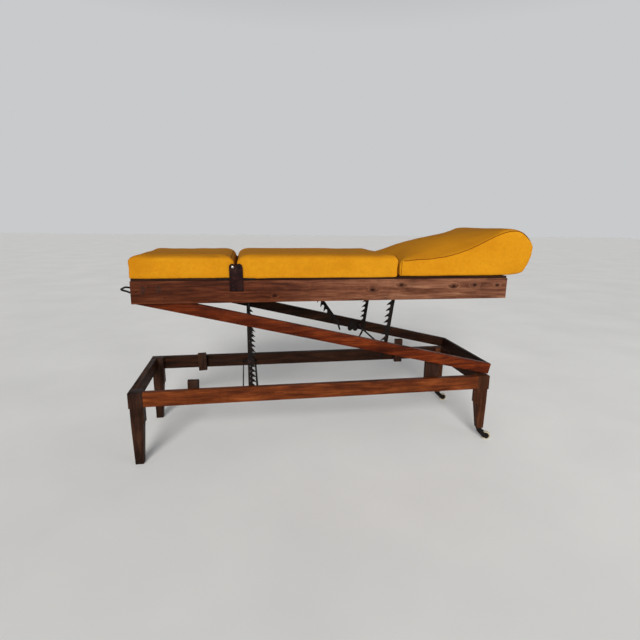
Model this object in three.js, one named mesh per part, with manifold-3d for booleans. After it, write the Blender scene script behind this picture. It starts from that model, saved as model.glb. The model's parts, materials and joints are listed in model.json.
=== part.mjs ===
// Height-adjustable medical examination table: a wooden base on two casters, a lift frame hinged
// to its head end, a top frame hinged to the lift frame's foot end, toothed iron props between
// them, and upholstered leg and back sections that pivot on iron side plates.
// Millimetres, +Z up, +X towards the patient's head, +Y towards the patient's right-hand side.
// Lengths along X are first laid out from the foot end of the base; the whole assembly is then
// shifted so that its origin lies on the floor under the middle of its bounding box.

import * as THREE from 'three';
import { mergeVertices } from 'three/addons/utils/BufferGeometryUtils.js';
import Module from 'manifold-3d';

const wasm = await Module();
wasm.setup();

// ---------- driving dimensions ----------
const CENTRE_X = 908.14;
const GAP = 0.3;
const HALF_WIDTH = 278;
const SIDES = [{ name: 'left', sign: -1 }, { name: 'right', sign: 1 }];

const BASE_LENGTH = 1700;
const BASE_TOP = 347;
const BASE_RAIL_HEIGHT = 66;
const BASE_RAIL_THICKNESS = 28;
const POST_X = 62;
const POST_Y = 54;
const POST_BOTTOM = 277;
const LEG_STEP_Z = 200;
const CASTER_LEG_BOTTOM = 62;
// Each leg below its block: inner X of the thick and thin parts, then the sole's X and Y limits.
const FOOT_LEG = { thick: 61, thin: 56, x0: 6, x1: 42, y0: 17, y1: 49 };
const HEAD_LEG = { thick: 57, thin: 52, x0: 1, x1: 25, y0: 17, y1: 42 };

const LIFT_ANGLE = THREE.MathUtils.degToRad(13.15);
const LIFT_PIN = { x: 1705, z: 348.5 };
const LIFT_LENGTH = 1700;
const LIFT_RAIL_HEIGHT = 52;
const LIFT_RAIL_THICKNESS = 25;
const LIFT_BOTTOM = 1.5;
const LIFT_HALF_WIDTH = HALF_WIDTH - 20.5;

const TOP_PIN_LOCAL = { x: -1710, z: 56 };
const TOP_FOOT_X = 48;
const TOP_HEAD_X = 1739;
const TOP_Z = 833;
const TOP_RAIL_HEIGHT = 95;
const TOP_RAIL_THICKNESS = 19;
const TOP_CROSS_BOTTOM = 793;
const TOP_CROSS_WIDTH = 22;

const BOARD_THICKNESS = 9;
const BOARD_BOTTOM = TOP_Z + 0.5;
const BOARD_TOP = BOARD_BOTTOM + BOARD_THICKNESS;
const CUSHION_BOTTOM = BOARD_TOP + 0.5;
const CUSHION_HALF_WIDTH = HALF_WIDTH - 3.4;
const CUSHION_TOP = 941;
const CUSHION_CORNER = 34;
const HEAD_CROWN = { from: 1236, to: 1700, rise: 71, skew: 0.85, fall: 2.2 };

const SECTION_PIN_Z = 891;
const LEG_PIN_X = 464;
const BACK_PIN_X = 489;
const HINGE_PLATE_THICKNESS = 4;

const SHAFT_RADIUS = 5;
const SHAFT_SOCKET_DEPTH = 10;
const RACK_THICKNESS = 8;

const LOWER_PROP_PIVOT_LOCAL = { x: -1215.5, z: 29 };
const LOWER_RACK_OFFSET = HALF_WIDTH - 54;
const LOWER_RACK_HALF_WIDTH = 10;
const LOWER_TOOTH = 16;
const LOWER_RACK_END_Z = 292;
const LOWER_CATCH_Z = 311;
const LOWER_CATCH_CLEARANCE = 0.8;
const TIE_ROD_OFFSET = -34;
const TIE_ROD_RADIUS = 3;

const UPPER_PROP_PIVOT = { x: 1215, z: 798.5 };
const UPPER_RACK_OFFSET = HALF_WIDTH - 75;
const UPPER_RACK_HALF_WIDTH = 8;
const UPPER_TOOTH = 19;
const UPPER_RACK_LENGTH = 364;
const UPPER_RACK_LEAN = THREE.MathUtils.degToRad(7.5);
const UPPER_CATCH_LOCAL = { x: -583, z: 30.9 };
const UPPER_CATCH_RADIUS = 4.5;

const BACK_PROP_PIVOT = { x: 811, z: 815 };
const BACK_PROP_LENGTH = 334;
const BACK_PROP_HALF_WIDTH = 8;
const BACK_TOOTH = 19;
const BACK_PROP_LEAN = THREE.MathUtils.degToRad(35.5);
const BACK_CATCH = { x: 813, z: 755 };
const BACK_CATCH_RADIUS = 5;

const LEG_STAY_PIVOT = { x: 120, z: 822 };
const LEG_STAY_LENGTH = 262;
const LEG_STAY_HALF_WIDTH = 6.5;
const LEG_CATCH = { x: 300, z: 809.7 };

const CASTER_STEM_X = 1682;
const CASTER_OFFSET_Y = 249.5;
const CASTER_TRAIL = 38;
const CASTER_SWIVEL_LEFT = THREE.MathUtils.degToRad(-27);
const WHEEL_RADIUS = 21.5;
const WHEEL_HALF_WIDTH = 8;

const ROUND = 20;

// ---------- materials ----------
function finish(color, roughness, metalness) {
  return new THREE.MeshStandardMaterial({ color, roughness, metalness });
}

const topWood = finish(0x5a2d20, 0.42, 0);
const liftWood = finish(0x7a2a12, 0.4, 0);
const baseWood = finish(0x7d3a18, 0.42, 0);
const legWood = finish(0x4a2416, 0.5, 0);
const boardWood = finish(0x4b3224, 0.7, 0);
const iron = finish(0x1d1917, 0.55, 0.8);
const fabric = finish(0xe09a1c, 0.92, 0);
const casterRubber = finish(0x161412, 0.6, 0);

// ---------- solids ----------
function toManifold(geometry) {
  const plain = geometry.index ? geometry.toNonIndexed() : geometry.clone();
  plain.deleteAttribute('normal');
  plain.deleteAttribute('uv');
  const merged = mergeVertices(plain, 1e-4);
  const vertProperties = new Float32Array(merged.attributes.position.array);
  const triVerts = new Uint32Array(merged.index.array);
  return new wasm.Manifold(new wasm.Mesh({ numProp: 3, vertProperties, triVerts }));
}

function toGeometry(manifold) {
  const mesh = manifold.getMesh();
  const geometry = new THREE.BufferGeometry();
  geometry.setAttribute('position', new THREE.BufferAttribute(new Float32Array(mesh.vertProperties), 3));
  geometry.setIndex(new THREE.BufferAttribute(new Uint32Array(mesh.triVerts), 1));
  geometry.computeVertexNormals();
  return geometry;
}

function joined(geometries) {
  return toGeometry(geometries.map(toManifold).reduce((whole, piece) => whole.add(piece)));
}

function cut(geometry, cutters) {
  return toGeometry(cutters.map(toManifold).reduce((whole, tool) => whole.subtract(tool), toManifold(geometry)));
}

function block(x0, x1, y0, y1, z0, z1) {
  const geometry = new THREE.BoxGeometry(x1 - x0, Math.abs(y1 - y0), z1 - z0);
  geometry.translate((x0 + x1) / 2, (y0 + y1) / 2, (z0 + z1) / 2);
  return geometry;
}

// A round bar along Y, from y0 to y1, centred on (x, z).
function barY(x, z, radius, y0, y1, sides = ROUND) {
  const geometry = new THREE.CylinderGeometry(radius, radius, Math.abs(y1 - y0), sides);
  geometry.translate(x, (y0 + y1) / 2, z);
  return geometry;
}

// A side-view outline (x, z) made into a plate from y0 to y1.
function plateY(shape, y0, y1, options = {}) {
  const settings = { depth: Math.abs(y1 - y0), bevelEnabled: false, curveSegments: 6, ...options };
  const geometry = new THREE.ExtrudeGeometry(shape, settings);
  geometry.rotateX(Math.PI / 2);
  geometry.translate(0, Math.max(y0, y1), 0);
  return geometry;
}

function addPart(parent, name, geometry, material) {
  const mesh = new THREE.Mesh(geometry, material);
  mesh.name = name;
  parent.add(mesh);
  return mesh;
}

function groupAt(parent, x, z, turn = 0) {
  const group = new THREE.Group();
  group.position.set(x, 0, z);
  group.rotation.y = turn;
  parent.add(group);
  return group;
}

// Where a point of the lift frame lies once the frame is raised.
function raised(point) {
  const cos = Math.cos(LIFT_ANGLE);
  const sin = Math.sin(LIFT_ANGLE);
  return {
    x: LIFT_PIN.x + point.x * cos + point.z * sin,
    z: LIFT_PIN.z - point.x * sin + point.z * cos,
  };
}

const assembly = new THREE.Group();
assembly.position.x = -CENTRE_X;

// ---------- base ----------
const LOWER_PIVOT = raised(LOWER_PROP_PIVOT_LOCAL);
const LOWER_CATCH_X = LOWER_PIVOT.x + LOWER_RACK_HALF_WIDTH + LOWER_TOOTH + LOWER_CATCH_CLEARANCE + SHAFT_RADIUS;

function taperedLeg(form, bottomZ) {
  const upper = block(4, form.thick, 4, POST_Y - 4, LEG_STEP_Z, POST_BOTTOM + 1);
  const lower = block(4, form.thin, 4, POST_Y - 5, 0, LEG_STEP_Z + 1);
  const points = lower.attributes.position;
  for (let i = 0; i < points.count; i += 1) {
    if (points.getZ(i) < 1) {
      points.setX(i, points.getX(i) < 20 ? form.x0 : form.x1);
      points.setY(i, points.getY(i) < 20 ? form.y0 : form.y1);
    }
  }
  const head = block(0, POST_X, 0, POST_Y, POST_BOTTOM, BASE_TOP);
  const whole = joined([head, upper, lower]);
  if (bottomZ === 0) {
    return whole;
  }
  const below = block(-10, POST_X + 10, -10, POST_Y + 10, -10, bottomZ);
  const stemX = BASE_LENGTH - CASTER_STEM_X;
  const stemHole = new THREE.CylinderGeometry(5.4, 5.4, 60, ROUND);
  stemHole.rotateX(Math.PI / 2);
  stemHole.translate(stemX, HALF_WIDTH - CASTER_OFFSET_Y, bottomZ);
  return cut(whole, [below, stemHole]);
}

// Mirrors a solid in the planes asked for, keeping its faces pointing out.
function mirrored(geometry, flipX, flipY) {
  const copy = geometry.index ? geometry.toNonIndexed() : geometry.clone();
  copy.scale(flipX ? -1 : 1, flipY ? -1 : 1, 1);
  if (flipX !== flipY) {
    const points = copy.attributes.position;
    for (let i = 0; i < points.count; i += 3) {
      const first = new THREE.Vector3().fromBufferAttribute(points, i);
      const third = new THREE.Vector3().fromBufferAttribute(points, i + 2);
      points.setXYZ(i, third.x, third.y, third.z);
      points.setXYZ(i + 2, first.x, first.y, first.z);
    }
  }
  copy.computeVertexNormals();
  return copy;
}

function buildBase() {
  const base = groupAt(assembly, 0, 0);
  const railBottom = BASE_TOP - BASE_RAIL_HEIGHT;
  const inner = HALF_WIDTH - BASE_RAIL_THICKNESS;
  for (const end of [{ name: 'foot', flip: false }, { name: 'head', flip: true }]) {
    for (const side of SIDES) {
      const plain = end.flip ? taperedLeg(HEAD_LEG, CASTER_LEG_BOTTOM) : taperedLeg(FOOT_LEG, 0);
      const leg = mirrored(plain, end.flip, side.sign > 0);
      leg.translate(end.flip ? BASE_LENGTH : 0, side.sign * HALF_WIDTH, 0);
      addPart(base, `leg_${end.name}_${side.name}`, leg, legWood);
    }
    const x0 = end.flip ? BASE_LENGTH - BASE_RAIL_THICKNESS : 0;
    const across = HALF_WIDTH - POST_Y - GAP;
    const rail = block(x0, x0 + BASE_RAIL_THICKNESS, -across, across, railBottom, BASE_TOP);
    addPart(base, `base_end_rail_${end.name}`, rail, baseWood);
  }
  for (const side of SIDES) {
    const outer = side.sign * HALF_WIDTH;
    const face = side.sign * inner;
    const plain = block(POST_X + GAP, BASE_LENGTH - POST_X - GAP, outer, face, railBottom, BASE_TOP);
    const socketEnd = face + side.sign * (SHAFT_SOCKET_DEPTH + 1);
    const socket = barY(LOWER_CATCH_X, LOWER_CATCH_Z, SHAFT_RADIUS + GAP, face - side.sign, socketEnd);
    addPart(base, `base_side_rail_${side.name}`, cut(plain, [socket]), baseWood);
  }
  const reach = inner + SHAFT_SOCKET_DEPTH;
  addPart(base, 'lower_catch_bar', barY(LOWER_CATCH_X, LOWER_CATCH_Z, SHAFT_RADIUS, -reach, reach), iron);
  buildGuides(base, inner);
}

// Wooden blocks that keep the lowered lift frame in line: a packing piece against the side rail
// and an upright that stands just inside the lift frame.
function buildGuides(base, inner) {
  const guides = [
    { name: 'guide_block', starts: [246, 250], widths: [50, 44], bottom: 274, tops: [376, 371], lean: 0.04 },
    { name: 'guide_post', starts: [1380, 1378], widths: [72, 44], bottom: 277, tops: [414, 414], lean: 0 },
  ];
  const uprightFace = LIFT_HALF_WIDTH - LIFT_RAIL_THICKNESS - 1;
  for (const guide of guides) {
    SIDES.forEach((side, index) => {
      const width = guide.widths[index];
      const packing = block(0, width, side.sign * (inner - GAP), side.sign * (uprightFace - 1), 290, 340);
      const upright = block(0, width, side.sign * uprightFace, side.sign * (uprightFace - 22), guide.bottom,
        guide.tops[index]);
      const solid = joined([packing, upright]);
      const pivotZ = 315;
      solid.translate(-width / 2, 0, -pivotZ);
      solid.rotateY(-guide.lean * (side.sign > 0 ? 1 : -0.6));
      solid.translate(guide.starts[index] + width / 2, 0, pivotZ);
      addPart(base, `${guide.name}_${side.name}`, solid, legWood);
    });
  }
}

// ---------- casters ----------
function forkCheek(y0, y1) {
  const shape = new THREE.Shape();
  shape.moveTo(-11, 56);
  shape.lineTo(-10, 46);
  shape.lineTo(CASTER_TRAIL - 13, 12);
  shape.absarc(CASTER_TRAIL, WHEEL_RADIUS, 8, Math.PI * 1.25, Math.PI * 2.3, false);
  shape.lineTo(16, 50);
  shape.lineTo(12, 56);
  shape.closePath();
  return plateY(shape, y0, y1);
}

function wheelGeometry() {
  const bore = 3.3;
  const w = WHEEL_HALF_WIDTH;
  const r = WHEEL_RADIUS;
  const profile = [
    [bore, -w], [8, -w], [9, -w + 2], [r - 4.5, -w + 2], [r - 3, -w], [r - 1.2, -w + 0.6], [r, -w + 2.6],
    [r, w - 2.6], [r - 1.2, w - 0.6], [r - 3, w], [r - 4.5, w - 2], [9, w - 2], [8, w], [bore, w], [bore, -w],
  ].map(([away, y]) => new THREE.Vector2(away, y));
  return new THREE.LatheGeometry(profile, 40);
}

function buildCasters() {
  for (const side of SIDES) {
    const corner = new THREE.Group();
    corner.position.set(CASTER_STEM_X, side.sign * CASTER_OFFSET_Y, 0);
    corner.rotation.z = side.sign < 0 ? CASTER_SWIVEL_LEFT : 0;
    assembly.add(corner);
    const plateTop = CASTER_LEG_BOTTOM - GAP;
    const disc = new THREE.CylinderGeometry(15.5, 15.5, 3, ROUND);
    disc.rotateX(Math.PI / 2);
    disc.translate(0, 0, plateTop - 1.5);
    const bore = new THREE.CylinderGeometry(5.4, 5.4, 9, ROUND);
    bore.rotateX(Math.PI / 2);
    bore.translate(0, 0, plateTop - 1.5);
    addPart(corner, `caster_plate_${side.name}`, cut(disc, [bore]), iron);
    const crown = new THREE.CylinderGeometry(14, 14, 5, ROUND);
    crown.rotateX(Math.PI / 2);
    crown.translate(0, 0, plateTop - 3 - GAP - 2.5);
    const stem = new THREE.CylinderGeometry(5, 5, 32, ROUND);
    stem.rotateX(Math.PI / 2);
    stem.translate(0, 0, plateTop + 8);
    const inside = WHEEL_HALF_WIDTH + 1;
    const outside = inside + 3.5;
    const axle = barY(CASTER_TRAIL, WHEEL_RADIUS, 3, -outside - 1, outside + 1, 16);
    const cheeks = [forkCheek(-outside, -inside), forkCheek(inside, outside)];
    const bridge = block(-10, 10, -outside, outside, 49, 55);
    addPart(corner, `caster_fork_${side.name}`, joined([crown, stem, bridge, ...cheeks, axle]), iron);
    const wheel = addPart(corner, `caster_wheel_${side.name}`, wheelGeometry(), casterRubber);
    wheel.position.set(CASTER_TRAIL, 0, WHEEL_RADIUS);
  }
}

// ---------- hinges between the frames ----------
const HINGE_HALF_LENGTH = 150;
const KNUCKLE_RADIUS = 4.2;
const KNUCKLE_COUNT = 5;
const LEAF_INNER = 2.6;
const LEAF_OUTER = 4.7;
const LEAF_START = 5.2;

// One leaf of a hinge whose pin lies along Y through the origin. The leaf lies on the side of the
// pin given by face (+1 or -1 along X) and rises (up) or hangs from it by reach. The pin is part of
// the leaf that hangs; the leaf that rises is bored to turn on it.
function hingeLeaf(face, up, reach) {
  const x0 = Math.min(face * LEAF_INNER, face * LEAF_OUTER);
  const x1 = Math.max(face * LEAF_INNER, face * LEAF_OUTER);
  const zSign = up ? 1 : -1;
  const plateZ = [zSign * LEAF_START, zSign * reach].sort((a, b) => a - b);
  const webZ = [0, zSign * (LEAF_START + 0.5)].sort((a, b) => a - b);
  const parts = [block(x0, x1, -HINGE_HALF_LENGTH, HINGE_HALF_LENGTH, plateZ[0], plateZ[1])];
  const step = (2 * HINGE_HALF_LENGTH) / KNUCKLE_COUNT;
  for (let i = up ? 1 : 0; i < KNUCKLE_COUNT; i += 2) {
    const y0 = -HINGE_HALF_LENGTH + i * step + GAP;
    const y1 = y0 + step - 2 * GAP;
    parts.push(barY(0, 0, KNUCKLE_RADIUS, y0, y1));
    parts.push(block(Math.min(x0, 0), Math.max(x1, 0), y0, y1, webZ[0], webZ[1]));
  }
  const whole = joined(parts);
  if (up) {
    return cut(whole, [barY(0, 0, 2.5, -HINGE_HALF_LENGTH - 5, HINGE_HALF_LENGTH + 5)]);
  }
  return joined([whole, barY(0, 0, 2.2, -HINGE_HALF_LENGTH + 1, HINGE_HALF_LENGTH - 1)]);
}

// ---------- toothed props ----------
// A flat bar that hangs from the eye at the origin, with barbs on one side that point down and out.
function rackShape(rack) {
  const { length, halfWidth, tooth, pitch, firstTooth, teeth, side } = rack;
  const eye = halfWidth + 3;
  const shape = new THREE.Shape();
  const start = Math.asin(halfWidth / eye);
  const toothEdge = [];
  for (let i = 0; i < teeth; i += 1) {
    const z = -firstTooth - i * pitch;
    toothEdge.push([halfWidth, z]);
    toothEdge.push([halfWidth + tooth * 0.55, z - pitch * 0.36]);
    toothEdge.push([halfWidth + tooth, z - pitch * 0.76]);
    toothEdge.push([halfWidth + tooth * 0.42, z - pitch * 0.6]);
    toothEdge.push([halfWidth, z - pitch * 0.62]);
  }
  const tail = rack.hook
    ? [[halfWidth, -length + 52], [halfWidth - 3, -length + 40], [halfWidth + 8, -length + 2],
      [halfWidth + 2, -length], [halfWidth - 8, -length + 24], [-halfWidth, -length + 50]]
    : [[halfWidth, -length + 14], [halfWidth * 0.35, -length], [-halfWidth, -length + 4]];
  const outline = [];
  const arcSteps = 8;
  for (let i = 0; i <= arcSteps; i += 1) {
    const angle = -Math.PI / 2 - start - ((2 * Math.PI - 2 * start) * i) / arcSteps;
    outline.push([eye * Math.cos(angle), eye * Math.sin(angle)]);
  }
  outline.push(...toothEdge, ...tail);
  if (rack.lug) {
    const { offset, z, radius } = rack.lug;
    outline.push([-halfWidth, z - 9], [offset - radius - 3, z - 4], [offset - radius - 3, z + 4], [-halfWidth, z + 9]);
  }
  outline.forEach(([x, z], index) => {
    if (index === 0) {
      shape.moveTo(side * x, z);
    } else {
      shape.lineTo(side * x, z);
    }
  });
  shape.closePath();
  return shape;
}

function rackAt(rack, centreY) {
  const y0 = centreY - RACK_THICKNESS / 2;
  const y1 = centreY + RACK_THICKNESS / 2;
  const holes = [barY(0, 0, rack.eyeHole, y0 - 2, y1 + 2)];
  for (let i = 0; i < (rack.holes ?? 0); i += 1) {
    holes.push(barY(0, -rack.firstTooth - (i + 0.5) * rack.pitch, 2.4, y0 - 2, y1 + 2, 10));
  }
  return cut(plateY(rackShape(rack), y0, y1), holes);
}

function buildLowerProp(lift) {
  const prop = groupAt(lift, LOWER_PROP_PIVOT_LOCAL.x, LOWER_PROP_PIVOT_LOCAL.z, -LIFT_ANGLE);
  const tieZ = LOWER_CATCH_Z + 4 - LOWER_PIVOT.z;
  const rack = {
    length: LOWER_PIVOT.z - LOWER_RACK_END_Z,
    halfWidth: LOWER_RACK_HALF_WIDTH,
    tooth: LOWER_TOOTH,
    pitch: 24,
    firstTooth: 42,
    teeth: 12,
    holes: 11,
    side: 1,
    eyeHole: SHAFT_RADIUS + GAP,
    lug: { offset: TIE_ROD_OFFSET, z: tieZ, radius: TIE_ROD_RADIUS },
  };
  for (const side of SIDES) {
    addPart(prop, `lower_rack_${side.name}`, rackAt(rack, side.sign * LOWER_RACK_OFFSET), iron);
  }
  const reach = LIFT_HALF_WIDTH - LIFT_RAIL_THICKNESS + SHAFT_SOCKET_DEPTH;
  addPart(prop, 'lower_prop_shaft', barY(0, 0, SHAFT_RADIUS, -reach, reach), iron);
  const tieReach = LOWER_RACK_OFFSET - RACK_THICKNESS / 2 - GAP;
  addPart(prop, 'lower_tie_rod', barY(TIE_ROD_OFFSET, tieZ, TIE_ROD_RADIUS, -tieReach, tieReach, 12), iron);
}

function buildUpperProp(top) {
  const prop = groupAt(top, UPPER_PROP_PIVOT.x, UPPER_PROP_PIVOT.z, UPPER_RACK_LEAN);
  const rack = {
    length: UPPER_RACK_LENGTH,
    halfWidth: UPPER_RACK_HALF_WIDTH,
    tooth: UPPER_TOOTH,
    pitch: 29,
    firstTooth: 52,
    teeth: 8,
    hook: true,
    side: -1,
    eyeHole: SHAFT_RADIUS + GAP,
  };
  for (const side of SIDES) {
    addPart(prop, `upper_rack_${side.name}`, rackAt(rack, side.sign * UPPER_RACK_OFFSET), iron);
  }
  const reach = HALF_WIDTH - TOP_RAIL_THICKNESS + SHAFT_SOCKET_DEPTH;
  addPart(prop, 'upper_prop_shaft', barY(0, 0, SHAFT_RADIUS, -reach, reach), iron);
}

// ---------- lift frame ----------
function buildLiftFrame() {
  const lift = groupAt(assembly, LIFT_PIN.x, LIFT_PIN.z, LIFT_ANGLE);
  const footX = -5 - LIFT_LENGTH;
  const top = LIFT_BOTTOM + LIFT_RAIL_HEIGHT;
  const inner = LIFT_HALF_WIDTH - LIFT_RAIL_THICKNESS;
  for (const side of SIDES) {
    const face = side.sign * inner;
    const socketEnd = face + side.sign * (SHAFT_SOCKET_DEPTH + 1);
    const plain = block(footX, -5, side.sign * LIFT_HALF_WIDTH, face, LIFT_BOTTOM, top);
    const pivot = LOWER_PROP_PIVOT_LOCAL;
    const catchPoint = UPPER_CATCH_LOCAL;
    const sockets = [
      barY(pivot.x, pivot.z, SHAFT_RADIUS + GAP, face - side.sign, socketEnd),
      barY(catchPoint.x, catchPoint.z, UPPER_CATCH_RADIUS + GAP, face - side.sign, socketEnd),
    ];
    addPart(lift, `lift_side_rail_${side.name}`, cut(plain, sockets), liftWood);
  }
  const across = inner - GAP;
  const thickness = LIFT_RAIL_THICKNESS;
  addPart(lift, 'lift_end_rail_head', block(-5 - thickness, -5, -across, across, LIFT_BOTTOM, top), liftWood);
  addPart(lift, 'lift_end_rail_foot', block(footX, footX + thickness, -across, across, LIFT_BOTTOM, top), liftWood);
  const reach = inner + SHAFT_SOCKET_DEPTH;
  const rod = barY(UPPER_CATCH_LOCAL.x, UPPER_CATCH_LOCAL.z, UPPER_CATCH_RADIUS, -reach, reach);
  addPart(lift, 'upper_catch_rod', rod, iron);
  addPart(lift, 'catch_rod_keeper', keeperGeometry(inner), iron);
  addPart(lift, 'lift_handle', handleGeometry(footX), iron);
  addPart(lift, 'head_hinge_lift_leaf', hingeLeaf(-1, true, 40), iron);
  const foot = groupAt(lift, TOP_PIN_LOCAL.x, TOP_PIN_LOCAL.z);
  addPart(foot, 'foot_hinge_lift_leaf', hingeLeaf(1, false, 24), iron);
  buildLowerProp(lift);
}

// An iron plate on the right-hand rail, with two round lobes that drop below it around the rod.
function keeperGeometry(inner) {
  const { x, z } = UPPER_CATCH_LOCAL;
  const shape = new THREE.Shape();
  shape.moveTo(x + 16, z + 14);
  shape.lineTo(x - 40, z + 14);
  shape.lineTo(x - 46, z - 22);
  shape.absarc(x - 32, z - 34, 14, Math.PI, Math.PI * 1.9, false);
  shape.absarc(x - 2, z - 28, 15, Math.PI * 1.1, Math.PI * 2.05, false);
  shape.closePath();
  const hole = barY(x, z, UPPER_CATCH_RADIUS + GAP, inner - 8, inner + 2);
  return cut(plateY(shape, inner - GAP - 5, inner - GAP), [hole]);
}

// A bent round bar that stands out from the foot-end rail as a lifting handle.
const HANDLE = { near: -70, far: 30, reach: 97, z: 11, radius: 4.5, corner: 26, foot: 50 };

function handleGeometry(footX) {
  const { near, far, reach, z, radius, corner, foot } = HANDLE;
  const root = footX - GAP - 2.6;
  const route = new THREE.CurvePath();
  const start = new THREE.Vector3(root, near - foot, z);
  const cornerIn = new THREE.Vector3(footX - reach + corner, near, z);
  const cornerOut = new THREE.Vector3(footX - reach, near + corner, z);
  const second = new THREE.Vector3(footX - reach, far - corner, z);
  const secondOut = new THREE.Vector3(footX - reach + corner, far, z);
  const end = new THREE.Vector3(root, far + foot, z);
  route.add(new THREE.LineCurve3(start, cornerIn));
  route.add(new THREE.QuadraticBezierCurve3(cornerIn, new THREE.Vector3(footX - reach, near, z), cornerOut));
  route.add(new THREE.LineCurve3(cornerOut, second));
  route.add(new THREE.QuadraticBezierCurve3(second, new THREE.Vector3(footX - reach, far, z), secondOut));
  route.add(new THREE.LineCurve3(secondOut, end));
  const section = new THREE.Shape();
  section.absarc(0, 0, radius, 0, Math.PI * 2, false);
  const smooth = new THREE.CatmullRomCurve3(route.getSpacedPoints(40));
  const bar = new THREE.ExtrudeGeometry(section, { steps: 40, extrudePath: smooth, curveSegments: 5 });
  const feet = [start, end].map((point) => {
    return block(footX - GAP - 4, footX - GAP, point.y - 15, point.y + 15, z - 13, z + 13);
  });
  return joined([bar, ...feet]);
}

// ---------- top frame ----------
function hingePlate() {
  const half = 29;
  const centre = (LEG_PIN_X + BACK_PIN_X) / 2 + 2;
  const lobe = 14;
  const shape = new THREE.Shape();
  shape.moveTo(centre - half, 787);
  shape.lineTo(centre + half, 787);
  shape.lineTo(centre + half - 2, SECTION_PIN_Z);
  shape.absarc(BACK_PIN_X + 1.5, SECTION_PIN_Z, lobe, 0, Math.PI * 0.9, false);
  shape.lineTo(centre - 2, SECTION_PIN_Z + 6);
  shape.absarc(LEG_PIN_X - 1.5, SECTION_PIN_Z, lobe, Math.PI * 0.1, Math.PI, false);
  shape.closePath();
  return shape;
}

function buildTopFrame() {
  const top = groupAt(assembly, 0, 0);
  const bottom = TOP_Z - TOP_RAIL_HEIGHT;
  const inner = HALF_WIDTH - TOP_RAIL_THICKNESS;
  const rods = [UPPER_PROP_PIVOT, LEG_CATCH];
  for (const side of SIDES) {
    const face = side.sign * inner;
    const socketEnd = face + side.sign * (SHAFT_SOCKET_DEPTH + 1);
    const plain = block(TOP_FOOT_X, TOP_HEAD_X, side.sign * HALF_WIDTH, face, bottom, TOP_Z);
    const sockets = rods.map((rod) => barY(rod.x, rod.z, SHAFT_RADIUS + GAP, face - side.sign, socketEnd));
    addPart(top, `top_side_rail_${side.name}`, cut(plain, sockets), topWood);
    const near = side.sign * (HALF_WIDTH + GAP);
    const far = side.sign * (HALF_WIDTH + GAP + HINGE_PLATE_THICKNESS);
    const holes = [LEG_PIN_X, BACK_PIN_X].map((x) => barY(x, SECTION_PIN_Z, 4.4, near - side.sign, far + side.sign));
    const plate = cut(plateY(hingePlate(), near, far), holes);
    addPart(top, `section_hinge_plate_${side.name}`, plate, iron);
  }
  const footPin = raised(TOP_PIN_LOCAL);
  const footRailX = footPin.x + LEAF_OUTER + GAP;
  const across = inner - GAP;
  const crossX = { top_end_rail_foot: footRailX, top_slat_seat: 690, top_slat_head: 1440, top_end_rail_head: 1717 };
  for (const [name, x] of Object.entries(crossX)) {
    const width = name.includes('slat') ? 2 * TOP_CROSS_WIDTH : TOP_CROSS_WIDTH;
    addPart(top, name, block(x, x + width, -across, across, TOP_CROSS_BOTTOM, TOP_Z - 0.5), topWood);
  }
  const reach = inner + SHAFT_SOCKET_DEPTH;
  addPart(top, 'leg_stay_catch_bar', barY(LEG_CATCH.x, LEG_CATCH.z, SHAFT_RADIUS, -reach, reach), iron);
  addPart(top, 'back_catch_yoke', yokeGeometry(690 + 2 * TOP_CROSS_WIDTH + GAP), iron);
  const foot = groupAt(top, footPin.x, footPin.z);
  addPart(foot, 'foot_hinge_top_leaf', hingeLeaf(1, true, 38), iron);
  buildUpperProp(top);
}

// A U-shaped bar under the seat slat; the back prop's barbs rest on its crossbar.
function yokeGeometry(faceX) {
  const half = 42;
  const { x, z } = BACK_CATCH;
  const crossbar = barY(x, z, BACK_CATCH_RADIUS, -half - 4, half + 4);
  const arms = [-1, 1].map((sign) => {
    const shape = new THREE.Shape();
    shape.moveTo(faceX, 830);
    shape.lineTo(faceX, 796);
    shape.lineTo(x - 6, z - 6);
    shape.lineTo(x + 5, z - 4);
    shape.lineTo(x + 5, z + 5);
    shape.lineTo(faceX + 9, 806);
    shape.lineTo(faceX + 9, 830);
    shape.closePath();
    return plateY(shape, sign * half, sign * (half + 5));
  });
  const back = block(faceX, faceX + 5, -half - 5, half + 5, 806, 830);
  return joined([crossbar, ...arms, back]);
}

// ---------- leg and back sections ----------
// A cushion's side outline between two X positions, with rounded upper corners and, where
// undercut is given, a head end that slopes inwards towards the board.
function cushionShape(x0, x1, z0, z1, cornerFoot, cornerHead, undercut = 0) {
  const shape = new THREE.Shape();
  shape.moveTo(x0, z0);
  shape.lineTo(x1 - undercut, z0);
  shape.lineTo(x1, z1 - cornerHead);
  shape.absarc(x1 - cornerHead, z1 - cornerHead, cornerHead, 0, Math.PI / 2, false);
  shape.lineTo(x0 + cornerFoot, z1);
  shape.absarc(x0 + cornerFoot, z1 - cornerFoot, cornerFoot, Math.PI / 2, Math.PI, false);
  shape.closePath();
  return shape;
}

const SOFT_EDGE = { bevelEnabled: true, bevelThickness: 10, bevelSize: 10, bevelOffset: -10, bevelSegments: 2 };

function cushion(shape, detail = { curveSegments: 5 }) {
  const depth = 2 * CUSHION_HALF_WIDTH - 2 * SOFT_EDGE.bevelThickness;
  const geometry = new THREE.ExtrudeGeometry(shape, { ...SOFT_EDGE, depth, ...detail });
  geometry.rotateX(Math.PI / 2);
  geometry.translate(0, depth / 2, 0);
  return geometry;
}

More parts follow.
